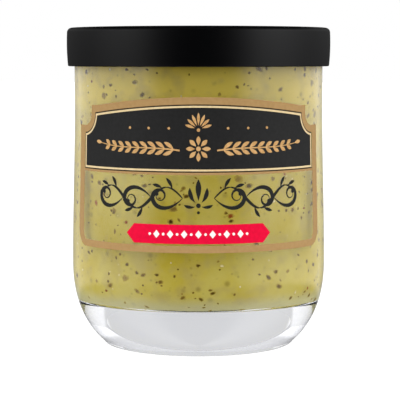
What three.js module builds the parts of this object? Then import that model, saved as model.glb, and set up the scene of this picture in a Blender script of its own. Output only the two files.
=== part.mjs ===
// Mustard jar: a thick-footed tumbler of clear glass, its mustard filling, a black press-on cap and the
// printed fields of its wrap label. Millimetres, +Z up, origin at the middle of the foot, front towards -Y.
import * as THREE from 'three';
import { mergeVertices } from 'three/addons/utils/BufferGeometryUtils.js';

// Glass tumbler
const RIM_HEIGHT = 75.5;
const RIM_RADIUS = 30.63;
const BELLY_RADIUS = 31.33;
const BELLY_HEIGHT = 19.8;
const STRAIGHT_FROM = 60.1;
const HEEL_FULLNESS = 13.4;
const HEEL_END_RADIUS = 24.0;
const HEEL_END_HEIGHT = 0.8;
const HEEL_END_SLOPE = 51;
const HEEL_END_REACH = 1.0;
const FOOT_RADIUS = 23.1;
const FOOT_RING_WIDTH = 4.5;
const PUSH_UP = 1.1;
const MOUTH_RADIUS = 28.4;
const CAVITY_BOTTOM_RADIUS = 27.9;
const CAVITY_FLOOR = 11.4;
const CAVITY_CORNER = 6.5;

// Mustard filling
const FILL_LEVEL = 72.4;
const FILL_GAP = 0.3;

// Cap
const CAP_TOP = 77.85;
const CAP_BOTTOM = 68.45;
const CAP_RADIUS = 32.5;
const CAP_WIDEST = 74.0;
const CAP_BULGE = 0.009;
const CAP_EDGE_ROUND = 1.15;
const CAP_LIP_ROUND = 0.35;
const CAP_BORE_RADIUS = 30.95;
const CAP_TOP_THICKNESS = 2.0;

// Printed label fields, as arc lengths along the wall and heights above the foot
const LABEL_CLEARANCE = 0.1;
const LABEL_THICKNESS = 0.15;
const LABEL_HALF_WIDTH = 36.6;
const LABEL_BOTTOM = 25.6;
const LABEL_CORNER = 4.2;
const BORDER_WIDTH = 1.65;
const BORDER_SIDE_WIDTH = 2.7;
const PANEL_GAP = 0.3;
const PANEL_HALF_WIDTH = 33.3;
const PANEL_BOTTOM = 44.5;
const PANEL_SHOULDER = 52.6;
const PANEL_SCOOP = 4.8;
const PANEL_CROWN = 59.6;
const RIBBON_HALF_WIDTH = 17.6;
const RIBBON_POINT = 1.9;
const RIBBON_BOTTOM = 27.7;
const RIBBON_TOP = 32.2;

// Fineness
const TURN_STEPS = 72;
const HEEL_STEPS = 11;
const FOOT_EDGE_STEPS = 3;
const WALL_STEPS = 6;
const RIM_STEPS = 8;
const ROUND_STEPS = 5;
const PLATE_STEP = 2.7;

const glassMaterial = new THREE.MeshStandardMaterial({
  color: 0xdfe3e2, roughness: 0.03, metalness: 0, transparent: true, opacity: 0.35,
});
const mustardMaterial = new THREE.MeshStandardMaterial({ color: 0xb59c4c, roughness: 0.55, metalness: 0 });
const capMaterial = new THREE.MeshStandardMaterial({ color: 0x141415, roughness: 0.35, metalness: 0 });
const borderMaterial = new THREE.MeshStandardMaterial({ color: 0xb99462, roughness: 0.5, metalness: 0 });
const panelMaterial = new THREE.MeshStandardMaterial({ color: 0x262626, roughness: 0.5, metalness: 0 });
const ribbonMaterial = new THREE.MeshStandardMaterial({ color: 0xf2153c, roughness: 0.5, metalness: 0 });

// Points of an arc from one angle to another, both in degrees, ends included.
function arc(centreX, centreY, radius, fromDegrees, toDegrees, steps = ROUND_STEPS) {
  const points = [];
  for (let i = 0; i <= steps; i += 1) {
    const angle = THREE.MathUtils.degToRad(THREE.MathUtils.lerp(fromDegrees, toDegrees, i / steps));
    points.push(new THREE.Vector2(centreX + radius * Math.cos(angle), centreY + radius * Math.sin(angle)));
  }
  return points;
}

// Radius of the tumbler's outside above the belly: straight under the rim, swelling softly to the belly.
function wallRadius(height) {
  const share = THREE.MathUtils.smoothstep(STRAIGHT_FROM - height, 0, STRAIGHT_FROM - BELLY_HEIGHT);
  return THREE.MathUtils.lerp(RIM_RADIUS, BELLY_RADIUS, share);
}

// A solid of revolution about Z from a profile of (radius, height) points.
function turned(profile) {
  const geometry = new THREE.LatheGeometry(profile, TURN_STEPS);
  geometry.rotateX(Math.PI / 2);
  return geometry;
}

// The cavity's profile from the middle of its floor up to a given height, drawn in by an inset.
function cavityProfile(inset, topHeight) {
  const corner = CAVITY_CORNER - inset;
  const cornerHeight = CAVITY_FLOOR + CAVITY_CORNER;
  const share = (topHeight - cornerHeight) / (RIM_HEIGHT - cornerHeight);
  const topRadius = THREE.MathUtils.lerp(CAVITY_BOTTOM_RADIUS, MOUTH_RADIUS, share) - inset;
  return [
    new THREE.Vector2(0, CAVITY_FLOOR + inset),
    ...arc(CAVITY_BOTTOM_RADIUS - CAVITY_CORNER, cornerHeight, corner, -90, 0, 2 * ROUND_STEPS),
    new THREE.Vector2(topRadius, topHeight),
  ];
}

// Tumbler: pushed-up underside, flat foot ring, curved heel, soft belly, rounded rim, round-cornered cavity.
function tumblerGeometry() {
  const ringInner = FOOT_RADIUS - FOOT_RING_WIDTH;
  const underside = [];
  for (let i = 0; i < ROUND_STEPS; i += 1) {
    const share = i / ROUND_STEPS;
    underside.push(new THREE.Vector2(ringInner * share, PUSH_UP * Math.cos(share * Math.PI / 2) ** 2));
  }
  underside.push(new THREE.Vector2(ringInner, 0));
  const slope = THREE.MathUtils.degToRad(HEEL_END_SLOPE);
  const heelEnd = new THREE.Vector2(HEEL_END_RADIUS, HEEL_END_HEIGHT);
  const footEdge = new THREE.QuadraticBezierCurve(
    new THREE.Vector2(FOOT_RADIUS, 0),
    new THREE.Vector2(HEEL_END_RADIUS - HEEL_END_HEIGHT / Math.tan(slope), 0),
    heelEnd,
  ).getPoints(FOOT_EDGE_STEPS);
  const heel = new THREE.CubicBezierCurve(
    heelEnd,
    new THREE.Vector2(Math.cos(slope), Math.sin(slope)).multiplyScalar(HEEL_END_REACH).add(heelEnd),
    new THREE.Vector2(BELLY_RADIUS, BELLY_HEIGHT - HEEL_FULLNESS),
    new THREE.Vector2(BELLY_RADIUS, BELLY_HEIGHT),
  ).getPoints(HEEL_STEPS).slice(1);
  const rimRound = (RIM_RADIUS - MOUTH_RADIUS) / 2;
  const rimMiddle = (RIM_RADIUS + MOUTH_RADIUS) / 2;
  const rimBase = RIM_HEIGHT - rimRound;
  const wall = [];
  for (let i = 1; i < WALL_STEPS; i += 1) {
    const height = THREE.MathUtils.lerp(BELLY_HEIGHT, STRAIGHT_FROM, i / WALL_STEPS);
    wall.push(new THREE.Vector2(wallRadius(height), height));
  }
  wall.push(new THREE.Vector2(RIM_RADIUS, STRAIGHT_FROM));
  const inside = cavityProfile(0, rimBase).reverse().slice(1);
  const rim = arc(rimMiddle, rimBase, rimRound, 0, 180, RIM_STEPS);
  return turned([...underside, ...footEdge, ...heel, ...wall, ...rim, ...inside]);
}

// Filling: the cavity's own form up to the fill level, a small gap clear of the glass.
function fillingGeometry() {
  return turned([...cavityProfile(FILL_GAP, FILL_LEVEL), new THREE.Vector2(0, FILL_LEVEL)]);
}

// Radius of the cap's side, widest a little above its middle.
function capRadius(height) {
  return CAP_RADIUS - CAP_BULGE * (height - CAP_WIDEST) ** 2;
}

// Cap: a flat top with a rounded edge over a slightly swelling skirt, hollow below.
function capGeometry() {
  const edgeHeight = CAP_TOP - CAP_EDGE_ROUND;
  const lipHeight = CAP_BOTTOM + CAP_LIP_ROUND;
  const side = [];
  for (let i = 1; i < WALL_STEPS; i += 1) {
    const height = THREE.MathUtils.lerp(lipHeight, edgeHeight, i / WALL_STEPS);
    side.push(new THREE.Vector2(capRadius(height), height));
  }
  const ceiling = CAP_TOP - CAP_TOP_THICKNESS;
  return turned([
    new THREE.Vector2(0, ceiling),
    new THREE.Vector2(CAP_BORE_RADIUS, ceiling),
    new THREE.Vector2(CAP_BORE_RADIUS, CAP_BOTTOM),
    ...arc(capRadius(lipHeight) - CAP_LIP_ROUND, lipHeight, CAP_LIP_ROUND, -90, 0, 2),
    ...side,
    ...arc(capRadius(edgeHeight) - CAP_EDGE_ROUND, edgeHeight, CAP_EDGE_ROUND, 0, 90),
    new THREE.Vector2(0, CAP_TOP),
  ]);
}

// A point of the label: an arc length from the front middle and a height, set off from the glass wall.
function onWall(along, height, offset) {
  const radius = wallRadius(height) + offset;
  const angle = along / BELLY_RADIUS;
  return [radius * Math.sin(angle), -radius * Math.cos(angle), height];
}

// A thin curved plate through stations that each hold two edge points, low and high, in label coordinates.
// A closed plate joins its last station to its first; an open one is capped at both ends.
function plateGeometry(stations, closed) {
  const positions = [];
  for (const { low, high } of stations) {
    positions.push(...onWall(...low, LABEL_CLEARANCE), ...onWall(...high, LABEL_CLEARANCE));
    positions.push(...onWall(...high, LABEL_CLEARANCE + LABEL_THICKNESS));
    positions.push(...onWall(...low, LABEL_CLEARANCE + LABEL_THICKNESS));
  }
  const indices = [];
  const corners = 4;
  const spans = closed ? stations.length : stations.length - 1;
  for (let i = 0; i < spans; i += 1) {
    const here = i * corners;
    const next = ((i + 1) % stations.length) * corners;
    for (let c = 0; c < corners; c += 1) {
      const d = (c + 1) % corners;
      indices.push(here + c, here + d, next + d, here + c, next + d, next + c);
    }
  }
  if (!closed) {
    const last = (stations.length - 1) * corners;
    indices.push(0, 2, 1, 0, 3, 2, last, last + 1, last + 2, last, last + 2, last + 3);
  }
  const geometry = new THREE.BufferGeometry();
  geometry.setAttribute('position', new THREE.Float32BufferAttribute(positions, 3));
  geometry.setIndex(indices);
  return mergeVertices(geometry);
}

// Arc lengths from one value to another, about a step apart, ends included.
function spread(from, to) {
  const count = Math.max(1, Math.round(Math.abs(to - from) / PLATE_STEP));
  return Array.from({ length: count + 1 }, (_, i) => THREE.MathUtils.lerp(from, to, i / count));
}

// Height of the plaque's top edge: a shallow crown in the middle and a scooped corner at each end.
function plaqueTop(along) {
  const scoopStart = PANEL_HALF_WIDTH - PANEL_SCOOP;
  const crownRise = PANEL_CROWN - PANEL_SHOULDER - PANEL_SCOOP;
  const reach = Math.abs(along);
  if (reach <= scoopStart) {
    return PANEL_SHOULDER + PANEL_SCOOP + crownRise * Math.cos((reach / scoopStart) * Math.PI / 2);
  }
  const over = PANEL_HALF_WIDTH - reach;
  return PANEL_SHOULDER + PANEL_SCOOP - Math.sqrt(Math.max(0, PANEL_SCOOP ** 2 - over ** 2));
}

// Black plaque in the upper half of the label.
function panelGeometry() {
  const scoopStart = PANEL_HALF_WIDTH - PANEL_SCOOP;
  const scoop = arc(PANEL_HALF_WIDTH, 0, PANEL_SCOOP, 180, 90, ROUND_STEPS).map((point) => point.x);
  const half = [...spread(0, scoopStart).slice(1), ...scoop.slice(1)];
  const alongs = [...half.map((along) => -along).reverse(), 0, ...half];
  return plateGeometry(alongs.map((along) => ({
    low: [along, PANEL_BOTTOM],
    high: [along, plaqueTop(along)],
  })), false);
}

// Tan border: one closed band along the label's foot, round its lower corners, up its sides, over the plaque.
function borderGeometry() {
  const straight = LABEL_HALF_WIDTH - LABEL_CORNER;
  const sideInner = LABEL_HALF_WIDTH - BORDER_SIDE_WIDTH;
  const scoopStart = PANEL_HALF_WIDTH - PANEL_SCOOP;
  const cornerHeight = PANEL_SHOULDER + PANEL_SCOOP;
  const outset = PANEL_GAP + BORDER_WIDTH;
  const half = spread(0, straight).map((along) => ({
    low: [along, LABEL_BOTTOM], high: [along, LABEL_BOTTOM + BORDER_WIDTH],
  }));
  for (const point of arc(0, 0, 1, -90, 0).slice(1)) {
    const middle = LABEL_BOTTOM + LABEL_CORNER;
    half.push({
      low: [straight + LABEL_CORNER * point.x, middle + LABEL_CORNER * point.y],
      high: [
        straight + (LABEL_CORNER - BORDER_SIDE_WIDTH) * point.x,
        middle + (LABEL_CORNER - BORDER_WIDTH) * point.y,
      ],
    });
  }
  for (const height of spread(LABEL_BOTTOM + LABEL_CORNER, PANEL_SHOULDER + PANEL_GAP).slice(1, -1)) {
    half.push({ low: [LABEL_HALF_WIDTH, height], high: [sideInner, height] });
  }
  half.push({
    low: [LABEL_HALF_WIDTH, PANEL_SHOULDER + outset], high: [sideInner, PANEL_SHOULDER + PANEL_GAP],
  });
  const lowScoop = arc(PANEL_HALF_WIDTH, cornerHeight, PANEL_SCOOP - outset, 270, 180);
  const highScoop = arc(PANEL_HALF_WIDTH, cornerHeight, PANEL_SCOOP - PANEL_GAP, 270, 180);
  half.push(...lowScoop.map((point, i) => ({ low: point.toArray(), high: highScoop[i].toArray() })));
  half.push({
    low: [scoopStart + outset, cornerHeight + outset],
    high: [scoopStart + PANEL_GAP, cornerHeight + PANEL_GAP],
  });
  for (const along of spread(scoopStart, 0).slice(1)) {
    half.push({ low: [along, plaqueTop(along) + outset], high: [along, plaqueTop(along) + PANEL_GAP] });
  }
  const mirrored = half.slice(1, -1).reverse().map(({ low, high }) => ({
    low: [-low[0], low[1]], high: [-high[0], high[1]],
  }));
  return plateGeometry([...half, ...mirrored], true);
}

// Red ribbon with pointed ends, low on the label.
function ribbonGeometry() {
  const middle = (RIBBON_BOTTOM + RIBBON_TOP) / 2;
  const tip = 0.1;
  const square = RIBBON_HALF_WIDTH - RIBBON_POINT;
  const stations = spread(-square, square).map((along) => ({
    low: [along, RIBBON_BOTTOM], high: [along, RIBBON_TOP],
  }));
  const left = { low: [-RIBBON_HALF_WIDTH, middle - tip], high: [-RIBBON_HALF_WIDTH, middle + tip] };
  const right = { low: [RIBBON_HALF_WIDTH, middle - tip], high: [RIBBON_HALF_WIDTH, middle + tip] };
  return plateGeometry([left, ...stations, right], false);
}

const part = new THREE.Group();

// Adds one named piece to the part.
function addPiece(name, geometry, material) {
  const mesh = new THREE.Mesh(geometry, material);
  mesh.name = name;
  part.add(mesh);
}

addPiece('glass', tumblerGeometry(), glassMaterial);
addPiece('mustard', fillingGeometry(), mustardMaterial);
addPiece('cap', capGeometry(), capMaterial);
addPiece('label_border', borderGeometry(), borderMaterial);
addPiece('label_panel', panelGeometry(), panelMaterial);
addPiece('label_ribbon', ribbonGeometry(), ribbonMaterial);

export default part;
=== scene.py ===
"""A mustard jar dressed for a studio photograph.

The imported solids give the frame. Every piece is worked out with numpy as a surface of revolution, a plate on
the glass wall or a spread of small flakes, from sizes in millimetres that match the solids.
"""

import logging
import math
from dataclasses import dataclass, field
from enum import Enum

import bpy
import numpy as np
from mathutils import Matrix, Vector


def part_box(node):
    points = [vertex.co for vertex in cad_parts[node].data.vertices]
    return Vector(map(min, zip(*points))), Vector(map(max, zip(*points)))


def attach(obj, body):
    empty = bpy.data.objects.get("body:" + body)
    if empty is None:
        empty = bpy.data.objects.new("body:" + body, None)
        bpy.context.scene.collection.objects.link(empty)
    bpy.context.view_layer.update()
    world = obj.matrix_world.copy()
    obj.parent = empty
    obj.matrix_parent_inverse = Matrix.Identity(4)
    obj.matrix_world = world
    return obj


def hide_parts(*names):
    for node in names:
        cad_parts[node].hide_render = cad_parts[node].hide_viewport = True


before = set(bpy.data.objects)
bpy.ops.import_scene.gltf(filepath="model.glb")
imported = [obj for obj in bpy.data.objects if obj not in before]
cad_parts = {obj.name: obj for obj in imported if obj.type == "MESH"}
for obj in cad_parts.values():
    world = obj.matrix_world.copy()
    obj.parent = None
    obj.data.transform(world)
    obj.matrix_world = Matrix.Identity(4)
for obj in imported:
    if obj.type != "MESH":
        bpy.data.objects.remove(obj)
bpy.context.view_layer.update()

MM = 0.001
ROOT = "root"
SEED = 58

WHITE = (1.0, 1.0, 1.0, 1.0)
TO_CAMERA = (0.0, -1.0, 0.0)
SOFT = {"interpolation_type": "SMOOTHSTEP"}
COLOURS = {"data_type": "RGBA"}

log = logging.getLogger("mustard_jar")

Points = np.ndarray
Shell = tuple[Points, list[np.ndarray]]
Place = tuple[float, float]
Socket = bpy.types.NodeSocket
Tree = bpy.types.NodeTree
# The two ends of a range, and where it has four values, what each end gives.
Span = tuple[float, float]
Ramp = tuple[float, float, float, float]


class Turn(Enum):
    """How many parts a surface of revolution has round its axis."""

    FINE = 320
    PLAIN = 192
    FLAKE = 8


class Ink(Enum):
    """Printing inks of the label: the name of each, its colour and the near shade of its mottle."""

    TAN = ("ink_tan", "AA895B", "A28153")
    BROWN = ("ink_brown", "3A2E22", "33281E")
    BLACK = ("ink_black", "242424", "202020")
    CREAM = ("ink_cream", "E0CBA0", "D6BE8E")
    GOLD = ("ink_gold", "CFA772", "B98E58")
    RED = ("ink_red", "E20338", "D60333")
    WHITE = ("ink_white", "F4F1EE", "ECE8E4")


def to_mm(node: str) -> tuple[np.ndarray, np.ndarray]:
    """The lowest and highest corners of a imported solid's box, in millimetres."""
    low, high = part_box(node)
    return np.array(low) / MM, np.array(high) / MM


def linear(code: str) -> tuple[float, float, float, float]:
    """Turns an sRGB hex colour into the linear values that shaders take.

    Args:
        code: Six hex digits, red, green and blue.

    Returns:
        Red, green, blue and a full alpha.
    """
    values = [int(code[i:i + 2], 16) / 255 for i in (0, 2, 4)]
    low = [v / 12.92 if v <= 0.04045 else ((v + 0.055) / 1.055) ** 2.4 for v in values]
    return (*low, 1.0)


def scale_of(size_mm: float) -> float:
    """The texture scale that gives a pattern its real size: one over the size in metres."""
    return 1.0 / (size_mm * MM)


def add_node(tree: Tree, kind: str, inputs: dict | tuple = (), **settings: object) -> bpy.types.Node:
    """Adds one shader node with its settings and links.

    Args:
        tree: The node tree that takes the node.
        kind: Blender's name for the node type, without ShaderNode in front.
        inputs: What each input takes: a value, a socket, or a node whose first output feeds it. A tuple
            fills the inputs in order, and a dict names or numbers them.
        settings: The node's own properties.

    Returns:
        The new node.
    """
    node = tree.nodes.new(f"ShaderNode{kind}")
    for name, value in settings.items():
        setattr(node, name, value)
    for name, value in inputs.items() if isinstance(inputs, dict) else enumerate(inputs):
        if isinstance(value, bpy.types.Node):
            value = value.outputs[0]
        if isinstance(value, Socket):
            tree.links.new(value, node.inputs[name])
        else:
            node.inputs[name].default_value = value
    return node


def new_material(name: str) -> tuple[bpy.types.Material, Tree, Socket]:
    """Makes a node material with nothing in it but object coordinates.

    Args:
        name: Its name.

    Returns:
        The material, its tree and the coordinates.
    """
    material = bpy.data.materials.new(name)
    material.use_nodes = True
    tree = material.node_tree
    tree.nodes.clear()
    return material, tree, add_node(tree, "TexCoord").outputs["Object"]


def signed_volume(points: Points, faces: np.ndarray) -> float:
    """Six times the volume that flat faces enclose, positive where they point outwards.

    Each face is cut into triangles from its first corner, and their corners' triple products are summed.

    Args:
        points: Vertices.
        faces: Corner numbers, three or four to a row.

    Returns:
        The signed sum.
    """
    first = points[faces[:, 0]]
    total = 0.0
    for i in range(1, faces.shape[1] - 1):
        total += float(np.einsum("ij,ij->", first, np.cross(points[faces[:, i]], points[faces[:, i + 1]])))
    return total


def make_piece(name: str, parts: list[Shell], sharp_degrees: float = 35.0) -> bpy.types.Object:
    """Puts closed shells into a new object at the origin, each with its faces turned outwards.

    Args:
        name: The piece's name.
        parts: Vertices in millimetres and arrays of quads or triangles, for each shell.
        sharp_degrees: Edges that bend more than this stay sharp.

    Returns:
        The object, riding on the jar's one body.
    """
    vertices = []
    rows = []
    for points, faces in parts:
        turned = -1 if sum(signed_volume(points, block) for block in faces) < 0 else 1
        shift = sum(len(done) for done in vertices)
        rows += [row for block in faces for row in (block[:, ::turned] + shift).tolist()]
        vertices.append(points)
    mesh = bpy.data.meshes.new(name)
    mesh.from_pydata((np.vstack(vertices) * MM).tolist(), [], rows)
    mesh.polygons.foreach_set("use_smooth", np.ones(len(mesh.polygons), dtype=bool))
    mesh.set_sharp_from_angle(angle=math.radians(sharp_degrees))
    piece = bpy.data.objects.new(name, mesh)
    bpy.context.scene.collection.objects.link(piece)
    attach(piece, ROOT)
    return piece


def smooth(share: np.ndarray) -> np.ndarray:
    """The soft step 3x^2 - 2x^3, held to 0 and 1 outside its range."""
    held = np.clip(share, 0.0, 1.0)
    return held * held * (3.0 - 2.0 * held)


def arc(centre: Place, radius: float, start: float, end: float, steps: int) -> Points:
    """Points on a circle from one angle to another, in degrees, ends included."""
    angle = np.radians(np.linspace(start, end, steps + 1))
    return np.column_stack((centre[0] + radius * np.cos(angle), centre[1] + radius * np.sin(angle)))


def level_line(along: np.ndarray, height: float) -> Points:
    """Stations along a line at one height."""
    return np.column_stack((along, np.full(len(along), height)))


def bezier(corners: list[Place], steps: int) -> Points:
    """A Bezier curve by repeated mixing: each level mixes neighbours by t and 1 - t.

    Args:
        corners: Its control points.
        steps: How many spans it is cut into.

    Returns:
        Points along the curve, ends included.
    """
    t = np.linspace(0.0, 1.0, steps + 1)[:, None]
    level = [np.broadcast_to(np.array(c, float), (steps + 1, 2)) for c in corners]
    while len(level) > 1:
        level = [(1.0 - t) * a + t * b for a, b in zip(level, level[1:])]
    return level[0]


def net(rows: np.ndarray) -> np.ndarray:
    """Quads between neighbouring rows of corner numbers, each row closed on itself."""
    across = np.roll(rows, -1, axis=1)
    return np.stack((rows[:-1], across[:-1], across[1:], rows[1:]), axis=-1).reshape(-1, 4)


def revolve(profile: Points, turn: Turn) -> Shell:
    """Spins a profile about Z. Its ends lie on the axis and become poles.

    A vertex is (r cos a, r sin a, z) for each profile row (r, z) and each of the even angles a.

    Args:
        profile: Radius and height rows from pole to pole.
        turn: How finely the turn is cut.

    Returns:
        Vertices, and quads and pole triangles.
    """
    count = turn.value
    angle = np.arange(count) * (2.0 * math.pi / count)
    ring = profile[1:-1]
    grid = np.empty((len(ring), count, 3))
    grid[..., 0] = ring[:, :1] * np.cos(angle)
    grid[..., 1] = ring[:, :1] * np.sin(angle)
    grid[..., 2] = ring[:, 1:]
    points = np.vstack((grid.reshape(-1, 3), [[0, 0, profile[0, 1]], [0, 0, profile[-1, 1]]]))
    index = np.arange(len(ring) * count).reshape(len(ring), count)
    first = np.column_stack((np.full(count, len(points) - 2), np.roll(index[0], -1), index[0]))
    last = np.column_stack((np.full(count, len(points) - 1), index[-1], np.roll(index[-1], -1)))
    return points, [net(index), np.vstack((first, last))]


def flake_ball(rings: int = 6) -> Shell:
    """A unit ball of few faces: a half circle from pole to pole, spun about Z."""
    lean = np.linspace(0.0, math.pi, rings + 1)
    return revolve(np.column_stack((np.sin(lean), -np.cos(lean))), Turn.FLAKE)


def left_of(line: Points) -> Points:
    """Unit normals of a line, a quarter turn to the left of its travel.

    Args:
        line: Its points.

    Returns:
        One normal for each point.
    """
    way = np.gradient(line, axis=0)
    way /= np.linalg.norm(way, axis=1, keepdims=True)
    return np.column_stack((-way[:, 1], way[:, 0]))


@dataclass(frozen=True)
class ClearGlass:
    """Soda-lime glass, pressed and fire-polished: no grain, a faint grey body and a slow mould ripple."""

    name: str = "soda_lime_glass_fire_polished"
    body_tint: str = "D0D2D9"
    tint_depth_mm: float = 60.0
    ior: float = 1.5
    ripple_mm: float = 14.0
    ripple_depth_mm: float = 0.3
    ripple_strength: float = 0.04

    def build(self) -> bpy.types.Material:
        """Makes the material: a smooth refracting surface over a faintly absorbing body.

        Returns:
            The material.
        """
        material, tree, place = new_material(self.name)
        # The press mould leaves a ripple about a hundredth of a millimetre deep, over a centimetre or so.
        slow = scale_of(self.ripple_mm)
        ripple = add_node(tree, "TexNoise", {"Vector": place, "Scale": slow, "Detail": 1.0})
        bump = add_node(tree, "Bump", {
            "Height": ripple, "Strength": self.ripple_strength, "Distance": self.ripple_depth_mm * MM,
        })
        surface = add_node(tree, "BsdfPrincipled", {
            "Base Color": WHITE, "Roughness": 0.0, "IOR": self.ior, "Transmission Weight": 1.0,
            "Normal": bump,
        })
        body = add_node(tree, "VolumeAbsorption", {
            "Color": linear(self.body_tint), "Density": scale_of(self.tint_depth_mm),
        })
        add_node(tree, "OutputMaterial", {"Surface": surface, "Volume": body})
        return material


@dataclass(frozen=True)
class MustardPaste:
    """Ground mustard pressed against glass: yellow paste with pale clouds, a hull haze and sunken bran."""

    name: str = "ground_mustard_paste"
    deep: str = "CAB743"
    pale: str = "D2C466"
    cloud_mm: float = 11.0
    cloud_edges: Span = (0.35, 0.65)
    # Painted light: a paler colour towards the brim, where the cap shades the paste.
    brim_light: str = "E8D262"
    brim_light_rise_mm: Span = (56.0, 63.0)
    brim_light_share: float = 0.8
    hull: str = "B2A06C"
    haze_mm: float = 4.5
    haze_ramp: Ramp = (0.5, 0.68, 0.0, 0.4)
    sunken: str = "84703C"
    blots_mm_and_share: tuple[Span, ...] = ((3.4, 0.6), (1.5, 0.45))
    blot_choice: Span = (0.3, 1.0)
    blot_ramp: Ramp = (0.05, 0.3, 1.0, 0.0)
    # Painted highlight: a paler, greyer colour low in the cavity's corner.
    corner_highlight: str = "CCCAA4"
    corner_highlight_fall_mm: Span = (15.5, 12.0)
    corner_highlight_share: float = 0.7
    roughness: float = 0.7
    ior: float = 1.36

    def blots(self, tree: Tree, place: Socket, spacing_mm: float, share: float) -> bpy.types.Node:
        """Soft round blots of bran that lies below the surface, one to a cell and none in some cells.

        Args:
            tree: The material's tree.
            place: Object coordinates.
            spacing_mm: How far apart the cells are.
            share: How strongly the strongest blot shows.

        Returns:
            A node whose value is 0 between blots.
        """
        cells = add_node(tree, "TexVoronoi", {"Vector": place, "Scale": scale_of(spacing_mm)}).outputs
        pick = add_node(tree, "SeparateColor", (cells["Color"],))
        chosen = add_node(tree, "MapRange", (pick, *self.blot_choice, 0.0, share))
        near = add_node(tree, "MapRange", (cells["Distance"], *self.blot_ramp), **SOFT)
        return add_node(tree, "Math", (chosen, near), operation="MULTIPLY")

    def build(self) -> bpy.types.Material:
        """Makes the material: clouded colour with sunken bran, no gloss where it wets the glass.

        Returns:
            The material.
        """
        material, tree, place = new_material(self.name)
        height = add_node(tree, "SeparateXYZ", (place,)).outputs[2]
        cloud = add_node(tree, "TexNoise", {
            "Vector": place, "Scale": scale_of(self.cloud_mm), "Detail": 4.0, "Roughness": 0.6,
        })
        clouded = add_node(tree, "MapRange", (cloud, *self.cloud_edges))
        # Towards the brim the paste is painted paler and warmer: painted light that lifts the shade the cap
        # casts there.
        low, high = self.brim_light_rise_mm
        brim_lit = add_node(tree, "MapRange", (height, low * MM, high * MM, 0.0, self.brim_light_share), **SOFT)
        haze = add_node(tree, "TexNoise", {"Vector": place, "Scale": scale_of(self.haze_mm), "Detail": 2.0})
        dulled = add_node(tree, "MapRange", (haze, *self.haze_ramp))
        # In the lower corner of the cavity the paste is painted paler and greyer: a painted highlight of the
        # whitish light there.
        high, low = self.corner_highlight_fall_mm
        highlit = add_node(tree, "MapRange", (height, high * MM, low * MM, 0.0, self.corner_highlight_share), **SOFT)
        paste = linear(self.deep)
        for share, colour in (
            (clouded, self.pale), (brim_lit, self.brim_light), (dulled, self.hull),
            *((self.blots(tree, place, *blot), self.sunken) for blot in self.blots_mm_and_share),
            (highlit, self.corner_highlight),
        ):
            paste = add_node(tree, "Mix", {0: share, 6: paste, 7: linear(colour)}, **COLOURS).outputs[2]
        surface = add_node(tree, "BsdfPrincipled", {
            "Base Color": paste, "Roughness": self.roughness, "IOR": self.ior, "Specular IOR Level": 0.0,
        })
        add_node(tree, "OutputMaterial", {"Surface": surface})
        return material


@dataclass(frozen=True)
class BranHusk:
    """Cracked mustard-seed coat: matt, each flake between a dark and a light shade of its own."""

    name: str
    dark: str
    light: str
    shade_attribute: str = "flake_shade"
    rim_attribute: str = "flake_rim"
    paste: str = "BCA64A"
    fleck_mm: float = 0.25
    fleck_share: float = 0.6
    veil_edges: Span = (0.35, 1.0)
    roughness: float = 0.6

    def build(self) -> bpy.types.Material:
        """Makes the material: the flake's own shade with a fine fleck across it, veiled by paste at its rim.

        Returns:
            The material.
        """
        material, tree, place = new_material(self.name)
        own = add_node(tree, "Attribute", attribute_name=self.shade_attribute).outputs["Fac"]
        rim = add_node(tree, "Attribute", attribute_name=self.rim_attribute).outputs["Fac"]
        fleck = add_node(tree, "TexNoise", {"Vector": place, "Scale": scale_of(self.fleck_mm), "Detail": 2.0})
        spread = add_node(tree, "Math", (fleck, -0.5), operation="ADD")
        share = add_node(tree, "Math", (spread, self.fleck_share, own),
                         operation="MULTIPLY_ADD", use_clamp=True)
        coat = add_node(tree, "Mix", {0: share, 6: linear(self.dark), 7: linear(self.light)}, **COLOURS)
        veil = add_node(tree, "MapRange", (rim, *self.veil_edges), **SOFT)
        veiled = add_node(tree, "Mix", {0: veil, 6: coat.outputs[2], 7: linear(self.paste)}, **COLOURS)
        surface = add_node(tree, "BsdfPrincipled", {
            "Base Color": veiled.outputs[2], "Roughness": self.roughness, "Specular IOR Level": 0.0,
        })
        add_node(tree, "OutputMaterial", {"Surface": surface})
        return material


@dataclass(frozen=True)
class SatinPolypropylene:
    """Injection-moulded black polypropylene with a satin tool finish: soft broad reflections, fine grain."""

    name: str = "black_polypropylene_satin"
    colour: str = "020203"
    ior: float = 1.49
    specular: float = 0.24
    roughness: float = 0.38
    roughness_swing: float = 0.03
    grain_mm: float = 0.35
    grain_depth_mm: float = 0.02
    grain_strength: float = 0.12

    def build(self) -> bpy.types.Material:
        """Makes the material: near-black with a spark-eroded grain too fine to see as dots.

        Returns:
            The material.
        """
        material, tree, place = new_material(self.name)
        # Real spark grain is about 0.05 mm. It is drawn coarser so that it breaks the reflections a little.
        grain = add_node(tree, "TexNoise", {"Vector": place, "Scale": scale_of(self.grain_mm), "Detail": 2.0})
        bump = add_node(tree, "Bump", {
            "Height": grain, "Strength": self.grain_strength, "Distance": self.grain_depth_mm * MM,
        })
        swing = (self.roughness - self.roughness_swing, self.roughness + self.roughness_swing)
        rough = add_node(tree, "MapRange", (grain, 0.0, 1.0, *swing))
        surface = add_node(tree, "BsdfPrincipled", {
            "Base Color": linear(self.colour), "Roughness": rough, "IOR": self.ior,
            "Specular IOR Level": self.specular, "Normal": bump,
        })
        add_node(tree, "OutputMaterial", {"Surface": surface})
        return material


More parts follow.
